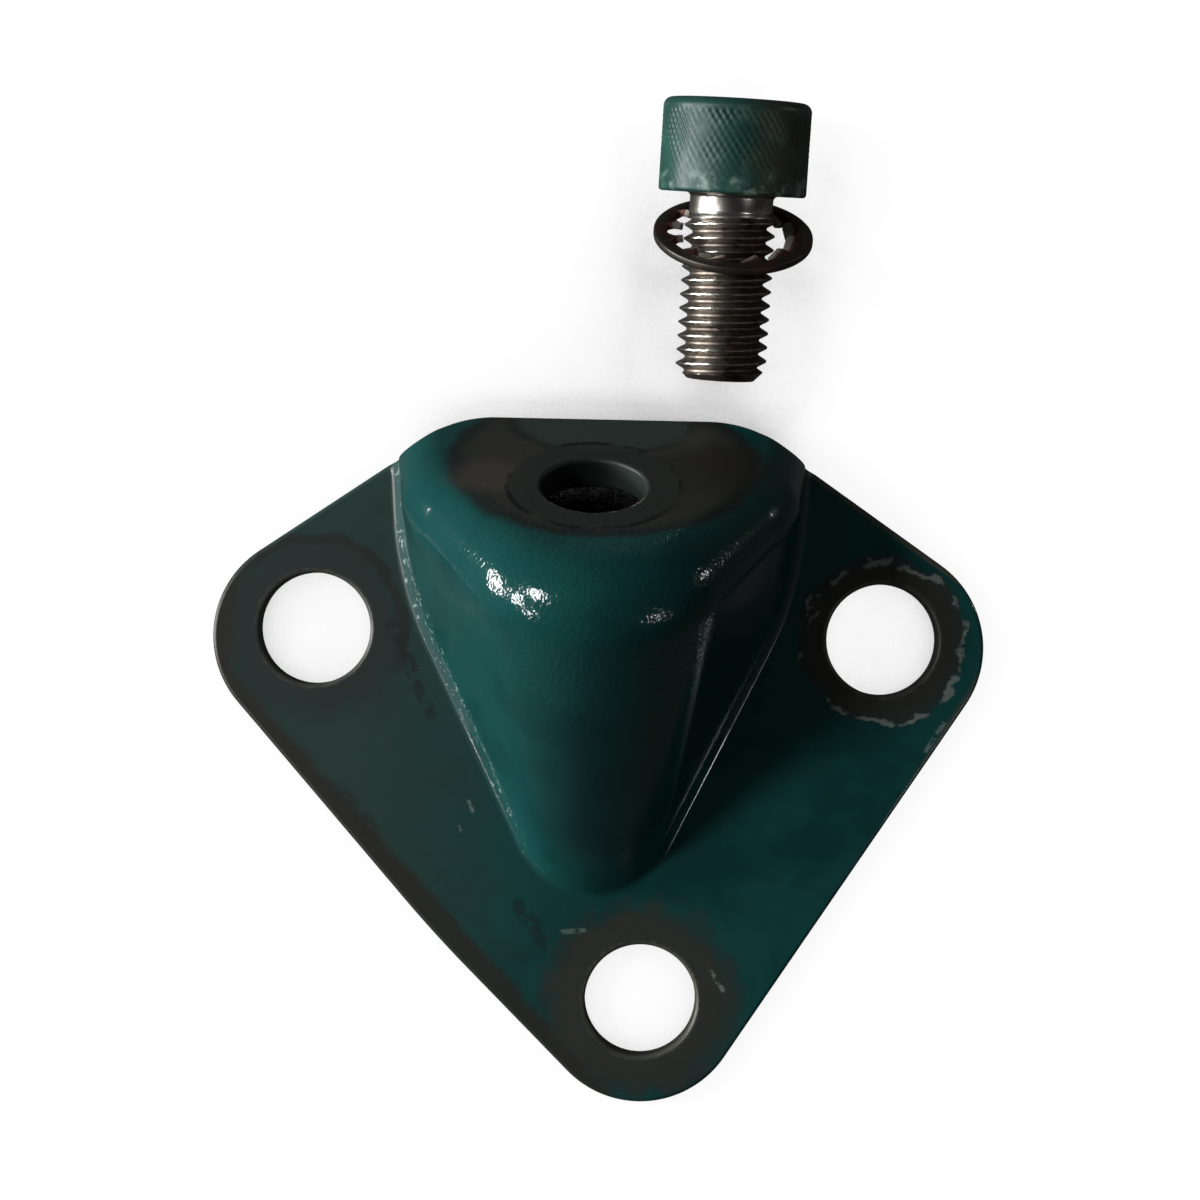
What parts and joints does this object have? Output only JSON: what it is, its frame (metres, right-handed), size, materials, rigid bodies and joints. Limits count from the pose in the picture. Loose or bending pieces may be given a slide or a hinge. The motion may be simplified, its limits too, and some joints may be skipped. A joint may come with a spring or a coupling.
{
  "type": "engine mount",
  "caption": "Pressed steel engine mount: flat lobed flange with bolt holes, a hollow tapering boss with an inclined drilled ledge, and its loose socket head cap screw with toothed lock washer.",
  "frame": {"origin": "middle of the whole set in plan, on the surface that the flange's back and the loose screw lie on", "axes": "+Z away from the flange's back, through the boss; +Y from the boss's foot towards its ledge and the loose screw; +X to the right in the picture"},
  "size_m": [0.0848, 0.1103, 0.0336],
  "materials": {
    "green_enamel": "gloss",
    "painted_screw_steel": "worn gloss",
    "dark_spring_steel": "oiled and dark"
  },
  "bodies": {
    "root": {"mount_bracket": "green_enamel", "cap_screw": "painted_screw_steel", "lock_washer": "dark_spring_steel"}
  },
  "joints": []
}
